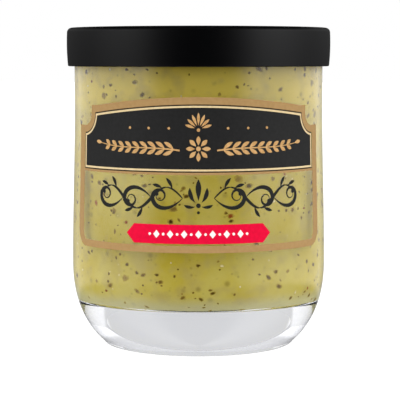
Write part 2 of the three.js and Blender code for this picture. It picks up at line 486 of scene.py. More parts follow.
@dataclass(frozen=True)
class FilmInk:
    """Ink printed on the back of a clear polypropylene film: flat colour with a faint screen mottle."""

    ink: Ink
    ior: float = 1.49
    specular: float = 0.1
    roughness: float = 0.5
    mottle_mm: float = 0.8
    mottle_edges: Span = (0.3, 0.7)

    def build(self) -> bpy.types.Material:
        """Makes the material once for each ink: two near shades in a fine mottle under a low film gloss.

        Returns:
            The material.
        """
        name, colour, mottle_colour = self.ink.value
        found = bpy.data.materials.get(name)
        if found:
            return found
        material, tree, place = new_material(name)
        fine = scale_of(self.mottle_mm)
        mottle = add_node(tree, "TexNoise", {"Vector": place, "Scale": fine, "Detail": 2.0})
        share = add_node(tree, "MapRange", (mottle, *self.mottle_edges))
        ink = add_node(tree, "Mix", {0: share, 6: linear(colour), 7: linear(mottle_colour)}, **COLOURS)
        surface = add_node(tree, "BsdfPrincipled", {
            "Base Color": ink.outputs[2], "Roughness": self.roughness, "IOR": self.ior,
            "Specular IOR Level": self.specular,
        })
        add_node(tree, "OutputMaterial", {"Surface": surface})
        return material


@dataclass
class Tumbler:
    """The glass: a tumbler with a thick foot, a curved heel and a round-cornered cavity. Millimetres."""

    rim_height: float = field(default_factory=lambda: float(to_mm("glass")[1][2]))
    belly_radius: float = field(default_factory=lambda: float(to_mm("glass")[1][0]))
    rim_radius: float = 30.63
    belly_height: float = 19.8
    straight_from: float = 60.1
    heel_fullness: float = 13.4
    heel_end: Place = (24.0, 0.8)
    heel_end_slope: float = 51.0
    heel_end_reach: float = 1.0
    foot_radius: float = 23.1
    foot_ring_width: float = 4.5
    push_up: float = 1.1
    mouth_radius: float = 28.4
    cavity_bottom_radius: float = 27.9
    cavity_floor: float = 11.4
    cavity_corner: float = 6.5
    # Stations or spans of each stretch of the section.
    underside_stations: int = 14
    edge_spans: int = 6
    heel_spans: int = 36
    wall_stations: int = 50
    rim_spans: int = 14
    bore_stations: int = 60
    corner_spans: int = 28
    floor_stations: int = 40

    def wall_radius(self, height: np.ndarray | float) -> np.ndarray:
        """Outer radius above the belly: it swells by a soft step from the straight neck down to the belly."""
        share = smooth((self.straight_from - np.asarray(height)) / (self.straight_from - self.belly_height))
        return self.rim_radius + (self.belly_radius - self.rim_radius) * share

    def on_wall(self, flat: np.ndarray, lift: np.ndarray | float) -> Points:
        """Lays flat label points round the outside of the wall, with the label's middle facing -Y.

        The turn is the arc length over the belly radius, and the radius is the wall's own plus the lift.

        Args:
            flat: Arc length and height in the last axis.
            lift: Distance off the glass.

        Returns:
            Points in millimetres.
        """
        turn = flat[..., 0] / self.belly_radius
        radius = self.wall_radius(flat[..., 1]) + lift
        return np.stack((radius * np.sin(turn), -radius * np.cos(turn), flat[..., 1]), axis=-1)

    def cavity(self, top: float) -> Points:
        """The cavity's profile: a flat floor, a round corner and a wall that opens evenly towards the mouth.

        Args:
            top: The height where it ends.

        Returns:
            Radius and height rows from the middle of the floor upwards.
        """
        floor_edge = self.cavity_bottom_radius - self.cavity_corner
        corner_height = self.cavity_floor + self.cavity_corner
        flat = level_line(np.linspace(0.0, floor_edge, self.floor_stations)[:-1], self.cavity_floor)
        bend = arc((floor_edge, corner_height), self.cavity_corner, -90.0, 0.0, self.corner_spans)
        height = np.linspace(corner_height, top, self.bore_stations)[1:]
        share = (height - corner_height) / (self.rim_height - corner_height)
        radius = self.cavity_bottom_radius + (self.mouth_radius - self.cavity_bottom_radius) * share
        return np.vstack((flat, bend, np.column_stack((radius, height))))

    def profile(self) -> Points:
        """The whole wall as one profile.

        The underside is a squared cosine dome inside the foot ring, the edge and the heel are Bezier curves
        that meet at the heel's end with one slope, and the rim is a half circle.

        Returns:
            Radius and height rows from the middle of the underside to the middle of the cavity floor.
        """
        ring = self.foot_radius - self.foot_ring_width
        under = np.linspace(0.0, ring, self.underside_stations)
        underside = np.column_stack((under, self.push_up * np.cos(under / ring * math.pi / 2.0) ** 2))
        slope = math.radians(self.heel_end_slope)
        reach = self.heel_end_reach
        end_radius, end_height = self.heel_end
        edge_bend = (end_radius - end_height / math.tan(slope), 0.0)
        edge = bezier([(self.foot_radius, 0.0), edge_bend, self.heel_end], self.edge_spans)
        heel = bezier([
            self.heel_end,
            (end_radius + reach * math.cos(slope), end_height + reach * math.sin(slope)),
            (self.belly_radius, self.belly_height - self.heel_fullness),
            (self.belly_radius, self.belly_height),
        ], self.heel_spans)[1:]
        round_radius = (self.rim_radius - self.mouth_radius) / 2.0
        rim_base = self.rim_height - round_radius
        height = np.linspace(self.belly_height, rim_base, self.wall_stations)[1:-1]
        wall = np.column_stack((self.wall_radius(height), height))
        rim_middle = ((self.rim_radius + self.mouth_radius) / 2.0, rim_base)
        rim = arc(rim_middle, round_radius, 0.0, 180.0, self.rim_spans)
        return np.vstack((underside, edge, heel, wall, rim, self.cavity(rim_base)[::-1][1:]))

    def build(self) -> bpy.types.Object:
        """Makes the tumbler and dresses it in clear glass.

        Returns:
            The piece.
        """
        piece = make_piece("jar_glass", [revolve(self.profile(), Turn.FINE)], sharp_degrees=50.0)
        piece.data.materials.append(ClearGlass().build())
        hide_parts("glass")
        return piece


@dataclass
class FlakeKind:
    """One kind of bran or husk: how many flakes, how wide, their finish and how low they gather."""

    name: str
    count: int
    width_mm: Span
    finish: BranHusk
    # The power of an even draw up the paste's side: above 1 the flakes gather low, and below 1 high.
    gathering: float = 1.0


@dataclass
class Filling:
    """The mustard and the bran, husk and pale flecks that show at the glass. Sizes in millimetres."""

    tumbler: Tumbler
    level: float = field(default_factory=lambda: float(to_mm("mustard")[1][2]))
    top_sag: float = 0.25
    top_stations: int = 24
    reach: float = 0.05
    film_gap: float = 0.08
    film_end: Span = (0.22, 0.46)
    flake_proud: float = 0.035
    flake_depth: float = 0.1
    flake_narrowing: Span = (0.5, 0.95)
    flake_unevenness: float = 0.28
    small_flake_bias: float = 2.2
    kinds: tuple[FlakeKind, ...] = (
        FlakeKind("bran_dark", 520, (0.55, 1.9), BranHusk("seed_coat_dark", "463314", "7C642C"), 1.0),
        FlakeKind("bran_brown", 420, (0.6, 2.2), BranHusk("seed_coat_brown", "745A26", "A48C48"), 0.9),
        FlakeKind("husk_red", 26, (0.9, 1.9), BranHusk("seed_husk_red_brown", "7E3417", "A65A2B"), 1.0),
        FlakeKind("fleck_pale", 150, (0.5, 1.2), BranHusk("seed_kernel_pale", "E2D796", "F0E8BC"), 0.9),
    )

    def side(self) -> Points:
        """The paste's profile at the glass.

        It is the cavity's own profile moved along its normal: a hair into the wall so that no air shows, and
        a hair clear of the floor, where the thin film between them makes the floor shine like a mirror.

        Returns:
            Radius and height rows from the middle of the floor to the brim.
        """
        tumbler = self.tumbler
        line = tumbler.cavity(self.level)
        bend = (line[:, 0] - (tumbler.cavity_bottom_radius - tumbler.cavity_corner)) / tumbler.cavity_corner
        start, end = self.film_end
        shut = smooth((np.where(line[:, 1] > tumbler.cavity_floor, bend, -1.0) - start) / (end - start))
        shut = np.where(line[:, 1] > tumbler.cavity_floor + tumbler.cavity_corner, 1.0, shut)
        inset = self.film_gap - (self.film_gap + self.reach) * shut
        moved = line + inset[:, None] * left_of(line)
        moved[0, 0] = 0.0
        moved[-1, 1] = self.level
        return moved

    def build(self) -> list[bpy.types.Object]:
        """Makes the paste, whose top sags by a squared sine between its brim and its middle, and its flakes.

        Returns:
            The paste and each kind of flake.
        """
        side = self.side()
        brim_light = side[-1, 0]
        across = np.linspace(brim_light, 0.0, self.top_stations)[1:]
        top = np.column_stack((across, self.level - self.top_sag * np.sin(across / brim_light * math.pi) ** 2))
        paste = make_piece("mustard_paste", [revolve(np.vstack((side, top)), Turn.PLAIN)])
        paste.data.materials.append(MustardPaste().build())
        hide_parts("mustard")
        rng = np.random.default_rng(SEED)
        return [paste, *(self.scatter(kind, side, rng) for kind in self.kinds)]

    def spots(self, kind: FlakeKind, side: Points, rng: np.random.Generator) -> tuple[Points, Points]:
        """Draws where flakes lie along the paste's profile, weighted by the radius for an even spread.

        Args:
            kind: The flakes' number and how low they gather.
            side: The paste's profile at the glass.
            rng: Seeded random draws.

        Returns:
            Radius and height of each flake, and the profile's normal there.
        """
        step = np.linalg.norm(np.diff(side, axis=0), axis=1)
        run = np.concatenate(([0.0], np.cumsum(step)))
        weight = np.concatenate(([0.0], np.cumsum(step * (side[1:, 0] + side[:-1, 0]))))
        draw = rng.random(kind.count) ** kind.gathering * weight[-1]
        at = np.interp(draw, weight, run)
        spot, normal = (np.column_stack([np.interp(at, run, rows[:, i]) for i in (0, 1)])
                        for rows in (side, left_of(side)))
        return spot, normal

    def scatter(self, kind: FlakeKind, side: Points, rng: np.random.Generator) -> bpy.types.Object:
        """Spreads one kind of flake over the paste where it meets the glass.

        A flake is a flattened ball with random bumps, spun at random on the paste, and its outer face stands
        a hair proud of it.

        Args:
            kind: The flakes' number, width and finish.
            side: The paste's profile at the glass.
            rng: Seeded random draws.

        Returns:
            The flakes as one piece.
        """
        count = kind.count
        spot, normal = self.spots(kind, side, rng)
        narrow, wide = kind.width_mm
        width = narrow + (wide - narrow) * rng.random(count) ** self.small_flake_bias
        size = np.column_stack((width, width * rng.uniform(*self.flake_narrowing, count),
                                np.full(count, self.flake_depth))) / 2.0
        depth = size[:, 2] - self.flake_proud
        turn = rng.uniform(0.0, 2.0 * math.pi, count)
        spin = rng.uniform(0.0, 2.0 * math.pi, count)
        cos, sin = np.cos(turn), np.sin(turn)
        outward = np.column_stack((-normal[:, 0] * cos, -normal[:, 0] * sin, -normal[:, 1]))
        around = np.column_stack((-sin, cos, np.zeros(count)))
        up = np.cross(outward, around)
        centre = np.column_stack((spot[:, 0] * cos, spot[:, 0] * sin, spot[:, 1])) - outward * depth[:, None]
        ball, faces = flake_ball()
        bumps = 1.0 + rng.uniform(-self.flake_unevenness, self.flake_unevenness, (count, len(ball)))
        local = ball[None] * bumps[..., None] * size[:, None]
        spin_cos, spin_sin = np.cos(spin)[:, None], np.sin(spin)[:, None]
        flat_x = local[..., 0] * spin_cos - local[..., 1] * spin_sin
        flat_y = local[..., 0] * spin_sin + local[..., 1] * spin_cos
        points = (centre[:, None] + around[:, None] * flat_x[..., None] + up[:, None] * flat_y[..., None]
                  + outward[:, None] * local[..., 2:])
        shift = (np.arange(count) * len(ball))[:, None, None]
        blocks = [(block[None] + shift).reshape(-1, block.shape[1]) for block in faces]
        piece = make_piece(kind.name, [(points.reshape(-1, 3), blocks)], sharp_degrees=80.0)
        shades = np.repeat(rng.random(count), len(ball))
        # The rim value grows from a flake's middle to its edge, and is full on the face that is in the paste.
        inner_face = ball[:, 2] < -0.1
        rims = np.tile(np.where(inner_face, 1.0, np.hypot(ball[:, 0], ball[:, 1])), count)
        for name, values in ((kind.finish.shade_attribute, shades), (kind.finish.rim_attribute, rims)):
            piece.data.attributes.new(name, "FLOAT", "POINT").data.foreach_set("value", values)
        piece.data.materials.append(kind.finish.build())
        return piece


@dataclass
class PressOnCap:
    """The black cap: a flat top with a rounded edge over a slightly swelling skirt. Sizes in millimetres."""

    bottom: float = field(default_factory=lambda: float(to_mm("cap")[0][2]))
    top: float = field(default_factory=lambda: float(to_mm("cap")[1][2]))
    radius: float = field(default_factory=lambda: float(to_mm("cap")[1][0]))
    widest: float = 74.0
    bulge: float = 0.009
    edge_round: float = 1.15
    lip_round: float = 0.35
    bore_radius: float = 30.95
    bore_round: float = 0.4
    bore_bevel: float = 0.15
    top_thickness: float = 2.0
    dish_depth: float = 0.22
    dish_margin: float = 2.2
    dish_slope: float = 0.9
    # Stations or spans of each stretch of the section.
    ceiling_stations: int = 10
    bore_spans: int = 5
    lip_spans: int = 8
    skirt_stations: int = 30
    edge_spans: int = 16
    top_stations: int = 60

    def side_radius(self, height: np.ndarray | float) -> np.ndarray:
        """The skirt's radius: its widest, less the bulge times the squared distance from that height."""
        return self.radius - self.bulge * (np.asarray(height) - self.widest) ** 2

    def profile(self) -> Points:
        """The cap's section: bore, rounded lip, swelling skirt, rounded edge, and a softly dished top.

        Returns:
            Radius and height rows from the middle of the ceiling to the middle of the top.
        """
        lip_height = self.bottom + self.lip_round
        edge_height = self.top - self.edge_round
        ceiling = self.top - self.top_thickness
        bore_edge = self.bore_radius - self.bore_round
        bore = np.vstack((
            level_line(np.linspace(0.0, bore_edge, self.ceiling_stations), ceiling),
            arc((bore_edge, ceiling - self.bore_round), self.bore_round, 90.0, 0.0, self.bore_spans)[1:],
            [[self.bore_radius, self.bottom + self.bore_bevel]],
            [[self.bore_radius + self.bore_bevel, self.bottom]],
        ))
        lip_middle = float(self.side_radius(lip_height)) - self.lip_round
        lip = arc((lip_middle, lip_height), self.lip_round, -90.0, 0.0, self.lip_spans)
        height = np.linspace(lip_height, edge_height, self.skirt_stations)[1:-1]
        skirt = np.column_stack((self.side_radius(height), height))
        edge_middle = float(self.side_radius(edge_height)) - self.edge_round
        edge = arc((edge_middle, edge_height), self.edge_round, 0.0, 90.0, self.edge_spans)
        across = np.linspace(edge_middle, 0.0, self.top_stations)[1:]
        dish = self.dish_depth * smooth((edge_middle - self.dish_margin - across) / self.dish_slope)
        return np.vstack((bore, lip, skirt, edge, np.column_stack((across, self.top - dish))))

    def build(self) -> bpy.types.Object:
        """Makes the cap and dresses it in satin plastic.

        Returns:
            The piece.
        """
        piece = make_piece("press_on_cap", [revolve(self.profile(), Turn.FINE)])
        piece.data.materials.append(SatinPolypropylene().build())
        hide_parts("cap")
        return piece


@dataclass
class WrapLabel:
    """The printed fields of the clear film label, as thin plates on the glass. Sizes in millimetres."""

    tumbler: Tumbler
    half_width: float = 36.6
    bottom: float = 25.6
    corner: float = 4.2
    border_width: float = 1.65
    border_side: float = 2.7
    gap: float = 0.3
    panel_half: float = 33.3
    panel_bottom: float = 44.5
    panel_shoulder: float = 52.6
    panel_scoop: float = 4.8
    panel_crown: float = 59.6
    ribbon_half: float = 17.6
    ribbon_point: float = 1.9
    ribbon_bottom: float = 27.7
    ribbon_top: float = 32.2
    cream_line: float = 0.45
    cream_margin: float = 0.02
    under_line: float = 0.55
    ink_lift: float = 0.02
    ink_depth: float = 0.05
    backing_lift: float = 0.006
    backing_depth: float = 0.012
    cream_lift: float = 0.055
    motif_lift: float = 0.06
    step: float = 0.4
    arc_steps: int = 16

    def __post_init__(self) -> None:
        """Works out the heights and half widths that follow from the rest."""
        self.scoop_start = self.panel_half - self.panel_scoop
        self.scoop_height = self.panel_shoulder + self.panel_scoop
        self.crown_rise = self.panel_crown - self.scoop_height
        self.ribbon_middle = (self.ribbon_bottom + self.ribbon_top) / 2.0

    def spread(self, start: float, end: float) -> np.ndarray:
        """Even stations from one place to another, about a step apart."""
        return np.linspace(start, end, max(2, int(math.ceil(abs(end - start) / self.step)) + 1))

    def crown(self, along: np.ndarray) -> np.ndarray:
        """Height of the plaque's top: a quarter cosine wave from the middle down to each scooped corner."""
        return self.scoop_height + self.crown_rise * np.cos(np.abs(along) / self.scoop_start * math.pi / 2.0)

    def closed_loop(self, half: np.ndarray) -> np.ndarray:
        """The right half of an outline, followed by its mirror image back to the start."""
        return np.vstack((half, half[1:-1][::-1] * (-1.0, 1.0)))

    def plaque(self, grow: float) -> np.ndarray:
        """The plaque's closed outline, grown outwards, with the same number of points at any growth.

        It runs from the middle of its foot to the right, up the side, round the scoop and over the crown, and
        the left half mirrors the right.

        Args:
            grow: How far it is grown.

        Returns:
            Arc length and height rows.
        """
        side = self.panel_half + grow
        low, high = self.panel_bottom - grow, self.panel_shoulder + grow
        foot = level_line(self.spread(0.0, self.panel_half) * (side / self.panel_half), low)
        rise = self.spread(self.panel_bottom, self.panel_shoulder)[1:]
        share = (rise - self.panel_bottom) / (self.panel_shoulder - self.panel_bottom)
        upright = np.column_stack((np.full(len(rise), side), low + (high - low) * share))
        centre = (self.panel_half, self.scoop_height)
        scoop = arc(centre, self.panel_scoop - grow, 270.0, 180.0, self.arc_steps)
        over = self.spread(self.scoop_start, 0.0)
        top = np.column_stack((over / self.scoop_start * (self.scoop_start + grow), self.crown(over) + grow))
        return self.closed_loop(np.vstack((foot, upright, scoop, top)))

    def sheet(self, low: np.ndarray, high: np.ndarray, closed: bool = False, lift: float = 0.0,
              rows: int = 2) -> Shell:
        """A thin plate on the wall between two lines, as one closed shell.

        At each station a flat ring runs from the low line to the high line on the front and back again on the
        rear. The rings are joined one to the next, and the ends are capped unless the band is closed.

        Args:
            low: Arc length and height rows of one edge.
            high: The same of the other edge.
            closed: Whether the last station joins the first.
            lift: Extra distance off the glass.
            rows: How many spans lie between the edges.

        Returns:
            Vertices and faces.
        """
        share = np.linspace(0.0, 1.0, rows + 1)[None, :, None]
        flat = low[:, None] + (high - low)[:, None] * share
        rear = self.ink_lift + lift
        ring = np.concatenate((self.tumbler.on_wall(flat, rear + self.ink_depth),
                               self.tumbler.on_wall(flat[:, ::-1], rear)), axis=1)
        count, size = ring.shape[:2]
        index = np.arange(count * size).reshape(count, size)
        if closed:
            index = np.vstack((index, index[:1]))
        faces = [net(index)]
        if not closed:
            for end, turned in ((index[0], 1), (index[-1], -1)):
                front, back = end[:rows + 1], end[rows + 1:][::-1]
                cap = np.column_stack((front[:-1], front[1:], back[1:], back[:-1]))
                faces.append(cap[:, ::turned])
        return ring.reshape(-1, 3), faces

    def lens(self, along: np.ndarray, middle: float, rise: np.ndarray, lift: float = 0.0,
             rows: int = 1) -> Shell:
        """A plate whose edges lie a rise below and above a level line."""
        edges = (np.column_stack((along, middle + way * rise)) for way in (-1.0, 1.0))
        return self.sheet(*edges, lift=lift, rows=rows)

    def stroke(self, line: np.ndarray, width: np.ndarray, lift: float = 0.0) -> Shell:
        """A drawn line of changing width: its edges lie half the width to either side along its normal."""
        half = left_of(line) * width[:, None] / 2.0
        return self.sheet(line - half, line + half, lift=lift, rows=1)

    def curl(self, start: Place, heading: float, length: float, bends: Span, ease: float = 1.0,
             steps: int = 60) -> np.ndarray:
        """A curve whose bend changes along its length, as a pen draws a scroll.

        The heading is the running sum of the bend, which goes from the first to the last value by a power of
        the share of the length, and the curve is the running sum of the heading's direction.

        Args:
            start: Where it starts.
            heading: Its first direction in degrees.
            length: Its length.
            bends: Bend at its start and end, in radians for each millimetre, positive to the left.
            ease: The power.
            steps: How many spans it has.

        Returns:
            Arc length and height rows.
        """
        share = (np.arange(steps) + 0.5) / steps
        bend = bends[0] + (bends[1] - bends[0]) * share ** ease
        span = length / steps
        angle = math.radians(heading) + np.cumsum(bend) * span - bend * span / 2.0
        moves = np.column_stack((np.cos(angle), np.sin(angle))) * span
        return np.vstack(([start], np.array(start) + np.cumsum(moves, axis=0)))

    def leaf(self, base: Place, heading: float, length: float, width: float, bend: float = 0.0,
             lift: float = 0.0) -> Shell:
        """A leaf or petal: a short bent stroke, widest a little past its middle and pointed at both ends.

        Its width is a power of a sine of a power of the share of its length, over a hairline.

        Args:
            base: Where it starts.
            heading: Its first direction in degrees.
            length: Its length.
            width: Its greatest width.
            bend: Its even bend, in radians for each millimetre.
            lift: Extra distance off the glass.

        Returns:
            Vertices and faces.
        """
        hairline, belly_shift, point_softness = 0.04, 1.25, 0.9
        line = self.curl(base, heading, length, (bend, bend), steps=14)
        share = np.linspace(0.0, 1.0, len(line))
        swell = np.sin(math.pi * share ** belly_shift) ** point_softness
        return self.stroke(line, hairline + width * swell, lift)

    def dot(self, middle: Place, radius: float, lift: float = 0.0) -> Shell:
        """A dot of sixteen sides: at each station across, its edges lie on the outline below and above.

        Args:
            middle: Its centre.
            radius: Its radius.
            lift: Extra distance off the glass.

        Returns:
            Vertices and faces.
        """
        stations, tip = 9, 0.01
        turn = np.linspace(math.pi, 0.0, stations)
        rise = np.maximum(radius * np.sin(turn), tip)
        return self.lens(middle[0] + radius * np.cos(turn), middle[1], rise, lift)

    def mirrored(self, part: Shell) -> list[Shell]:
        """A part and its mirror image across the label's middle."""
        points, faces = part
        return [part, (points * (-1.0, 1.0, 1.0), [block[:, ::-1] for block in faces])]

    def dress(self, name: str, parts: list[Shell], ink: Ink, node: str = "",
              shades: bool = False) -> bpy.types.Object:
        """Makes one printed field.

        Args:
            name: The piece's name.
            parts: Its closed shells.
            ink: Its colour.
            node: The solid that it stands for, if there is one.
            shades: Whether it keeps light from the paste behind the glass.

        Returns:
            The piece.
        """
        piece = make_piece(name, parts)
        piece.data.materials.append(FilmInk(ink).build())
        piece.visible_transmission = shades
        if node:
            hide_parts(node)
        return piece

    def backing(self, part: Shell) -> Shell:
        """The white layer printed behind a field, between it and the glass.

        Each point keeps its turn and height, and its distance off the wall is pressed into the gap there.

        Args:
            part: The field.

        Returns:
            Vertices and faces.
        """
        points, faces = part
        wall = self.tumbler.wall_radius(points[:, 2])
        radius = np.hypot(points[:, 0], points[:, 1])
        lift = self.backing_lift + (radius - wall - self.ink_lift) * (self.backing_depth / self.ink_depth)
        scale = ((wall + lift) / radius)[:, None] * (1.0, 1.0, 0.0) + (0.0, 0.0, 1.0)
        return points * scale, faces

    def border(self) -> Shell:
        """The tan border: one closed band round the label, with the plaque's outline as its upper inner edge.

        Returns:
            Vertices and faces.
        """
        straight = self.half_width - self.corner
        inner = self.half_width - self.border_side
        outset = self.gap + self.border_width
        middle = self.bottom + self.corner
        foot = self.spread(0.0, straight)
        turn = arc((0.0, 0.0), 1.0, -90.0, 0.0, self.arc_steps)[1:]
        bend = np.array((straight, middle))
        side = self.spread(middle, self.panel_shoulder + self.gap)[1:-1]
        upright = np.ones(len(side))
        scoop = (self.panel_half, self.scoop_height)
        over = self.spread(self.scoop_start, 0.0)[1:]
        outer = [
            level_line(foot, self.bottom),
            bend + self.corner * turn,
            np.column_stack((upright * self.half_width, side)),
            [[self.half_width, self.panel_shoulder + outset]],
        ]
        edge = [
            level_line(foot, self.bottom + self.border_width),
            bend + turn * (self.corner - self.border_side, self.corner - self.border_width),
            np.column_stack((upright * inner, side)),
            [[inner, self.panel_shoulder + self.gap]],
        ]
        for line, off in ((outer, outset), (edge, self.gap)):
            line.append(arc(scoop, self.panel_scoop - off, 270.0, 180.0, self.arc_steps))
            line.append([[self.scoop_start + off, self.scoop_height + off]])
            line.append(np.column_stack((over, self.crown(over) + off)))
        return self.sheet(self.closed_loop(np.vstack(outer)), self.closed_loop(np.vstack(edge)), closed=True)

    def panel(self) -> Shell:
        """The black plaque, from its straight foot to its crown and scooped corners.

        Returns:
            Vertices and faces.
        """
        centre = (self.panel_half, self.scoop_height)
        scoop = arc(centre, self.panel_scoop, 180.0, 270.0, self.arc_steps)
        over = self.spread(0.0, self.scoop_start)
        half = np.vstack((np.column_stack((over, self.crown(over))), scoop[1:]))
        top = np.vstack((half[1:][::-1] * (-1.0, 1.0), half))
        return self.sheet(level_line(top[:, 0], self.panel_bottom), top, rows=12)

    def ribbon(self) -> Shell:
        """The red ribbon with pointed ends.

        Returns:
            Vertices and faces.
        """
        tip = 0.1
        straight = self.ribbon_half - self.ribbon_point
        along = np.concatenate(([-self.ribbon_half], self.spread(-straight, straight), [self.ribbon_half]))
        rise = np.full(len(along), (self.ribbon_top - self.ribbon_bottom) / 2.0)
        rise[[0, -1]] = tip
        return self.lens(along, self.ribbon_middle, rise, rows=4)

    def lozenges(self) -> list[Shell]:
        """White lozenges and dots in a row along the ribbon.

        Returns:
            The closed shells.
        """
        pitch, half_width, half_height, tip, dot_radius = 3.3, 0.75, 0.95, 0.02, 0.32
        across = np.array((-half_width, 0.0, half_width))
        rise = np.array((tip, half_height, tip))
        parts = [self.lens(pitch * place + across, self.ribbon_middle, rise, self.motif_lift)
                 for place in range(-3, 4)]
        parts += [self.dot((pitch * (place + 0.5), self.ribbon_middle), dot_radius, self.motif_lift)
                  for place in range(-4, 4)]
        return parts

    def spray(self, centre: Place, start: float, turns: np.ndarray, lengths: np.ndarray,
              width: float) -> list[Shell]:
        """Gold petals that point outwards from a centre, in the directions of their turns.

        Args:
            centre: Where they would meet.
            start: How far off it they start.
            turns: Their directions in degrees.
            lengths: Their lengths.
            width: Their greatest width.

        Returns:
            The closed shells.
        """
        angle = np.radians(turns)
        bases = np.array(centre) + start * np.column_stack((np.cos(angle), np.sin(angle)))
        return [self.leaf(tuple(base), turn, length, width, lift=self.motif_lift)
                for base, turn, length in zip(bases, turns.tolist(), lengths.tolist())]

    def sprig(self) -> list[Shell]:
        """The right-hand leafy sprig: a tapering bent stem with pairs of shrinking leaves and one at its tip.

        Returns:
            The closed shells.
        """
        stem = self.curl((4.4, 49.3), 8.0, 21.5, (-0.026, 0.03))
        lift, tip_width, taper = self.motif_lift, 0.16, 0.22
        pairs, first, every, spread, bend, width = 9, 4, 6, 44.0, 0.16, 0.85
        longest, shrink = 2.9, 0.13
        share = np.linspace(0.0, 1.0, len(stem))
        parts = [self.stroke(stem, tip_width + taper * (1.0 - share), lift)]
        way = np.degrees(np.arctan2(*np.gradient(stem, axis=0).T[::-1]))
        for place in range(pairs):
            at = first + place * every
            for side in (1.0, -1.0):
                heading = float(way[at]) + side * spread
                length = longest - shrink * place
                parts.append(self.leaf(tuple(stem[at]), heading, length, width, -side * bend, lift))
        parts.append(self.leaf(tuple(stem[-1]), float(way[-1]), 2.2, 0.8, lift=lift))
        return parts

    def ornament(self) -> list[Shell]:
        """Gold ornament on the plaque: a rosette between two leafy sprigs, with a small fan above it.

        Returns:
            The closed shells.
        """
        lift = self.motif_lift
        rosette, petals = (0.0, 49.7), 8
        fan, rays, ray_spread = (0.0, 54.2), 7, 24.0
        fan_foot, dots_height = (0.0, 54.0), 54.4
        parts = [self.dot(rosette, 0.55, lift)]
        parts += self.spray(rosette, 0.8, 360.0 / petals * np.arange(petals), np.full(petals, 2.1), 0.95)
        for part in self.sprig():
            parts += self.mirrored(part)
        off = np.arange(rays) - rays // 2
        parts += self.spray(fan, 0.9, 90.0 + ray_spread * off, 2.9 - 0.18 * np.abs(off), 0.62)
        parts.append(self.dot(fan_foot, 0.4, lift))
        for x in (7.0, 12.0, 17.0):
            parts += self.mirrored(self.dot((x, dots_height), 0.3, lift))
        return parts

    def scrollwork(self) -> list[Shell]:
        """Black scrollwork under the plaque: a waving stem with a spiral in each half wave and small leaves.

        The stem is a sine wave, widest where it crosses its middle line. A spiral starts along the stem at
        each crossing and curls ever tighter to one side, left and right in turn.

        Returns:
            The closed shells.
        """
        middle, wave, swing, first, waves, stations = 38.3, 7.5, 2.5, 3.7, 3, 150
        stem_width, stem_swell = 0.18, 0.6
        spiral_length, spiral_bends, spiral_ease, spiral_spans = 18.0, (0.08, 1.1), 1.35, 90
        spiral_width, spiral_swell, spiral_end = 0.17, 0.85, 0.45
        # Where along a half wave each leaf starts, how far it turns off the stem, and its length.
        stem_leaves, leaf_width, leaf_bend = ((0.34, 48.0, 3.0), (0.66, 60.0, 2.6)), 0.75, 0.2
        along = np.linspace(first, first + waves * wave, stations)
        phase = (along - first) / wave * math.pi
        stem = np.column_stack((along, middle + swing * np.sin(phase)))
        share = np.linspace(0.0, 1.0, len(stem))
        body = np.sin(math.pi * share) ** 0.5 * np.abs(np.cos(phase)) ** 0.6
        parts = self.mirrored(self.stroke(stem, stem_width + stem_swell * body))
        slope = math.degrees(math.atan(swing * math.pi / wave))
        wave_spans = (stations - 1) // waves
        for i in range(waves):
            side = 1.0 if i % 2 == 0 else -1.0
            bends = (side * spiral_bends[0], side * spiral_bends[1])
            start = (first + wave * i, middle)
            line = self.curl(start, -side * slope, spiral_length, bends, spiral_ease, spiral_spans)
            t = np.linspace(0.0, 1.0, len(line))
            width = spiral_width + spiral_swell * np.sin(math.pi * t ** 0.8) ** 2
            parts += self.mirrored(self.stroke(line, width))
            parts += self.mirrored(self.dot(tuple(line[-1]), spiral_end))
            for at, turn, length in stem_leaves:
                k = int(at * wave_spans) + i * wave_spans
                heading = math.degrees(math.atan2(*(stem[k + 1] - stem[k])[::-1])) + side * turn
                leaf = self.leaf(tuple(stem[k]), heading, length, leaf_width, -side * leaf_bend)
                parts += self.mirrored(leaf)
        parts.append(self.leaf((0.0, middle - 0.6), 90.0, 5.0, 1.3))
        parts += self.mirrored(self.leaf((0.7, middle - 1.0), 42.0, 3.8, 0.95, 0.25))
        parts += self.mirrored(self.leaf((0.7, middle - 1.9), -20.0, 2.8, 0.7, 0.35))
        for drop, radius in ((1.7, 0.55), (3.3, 0.35)):
            parts.append(self.dot((0.0, middle - drop), radius))
        return parts

    def build(self) -> list[bpy.types.Object]:
        """Prints the label field by field, from the border to the white shapes on the ribbon.

        Returns:
            The printed pieces.
        """
        border, panel, ribbon, scrollwork = self.border(), self.panel(), self.ribbon(), self.scrollwork()
        fields = [self.backing(part) for part in (border, panel, ribbon, *scrollwork)]
        outline = self.sheet(self.plaque(0.0), self.plaque(self.gap), closed=True, rows=1)
        cream = self.sheet(self.plaque(-self.cream_line), self.plaque(-self.cream_margin), closed=True,
                           lift=self.cream_lift, rows=1)
        reach = self.half_width - self.border_side
        foot = self.spread(-reach, reach)
        top = self.panel_bottom - self.gap
        under = self.sheet(level_line(foot, top - self.under_line), level_line(foot, top), rows=1)
        return [
            self.dress("label_border_print", [border], Ink.TAN, "label_border", shades=True),
            self.dress("label_panel_print", [panel], Ink.BLACK, "label_panel"),
            self.dress("label_ribbon_print", [ribbon], Ink.RED, "label_ribbon"),
            self.dress("label_white_backing", fields, Ink.WHITE),
            self.dress("label_dark_outline", [outline], Ink.BROWN),
            self.dress("label_cream_line", [cream], Ink.CREAM),
            self.dress("label_under_line", [under], Ink.TAN),
            self.dress("label_gold_ornament", self.ornament(), Ink.GOLD),
            self.dress("label_scrollwork", scrollwork, Ink.BLACK),
            self.dress("label_white_lozenges", self.lozenges(), Ink.WHITE),
        ]


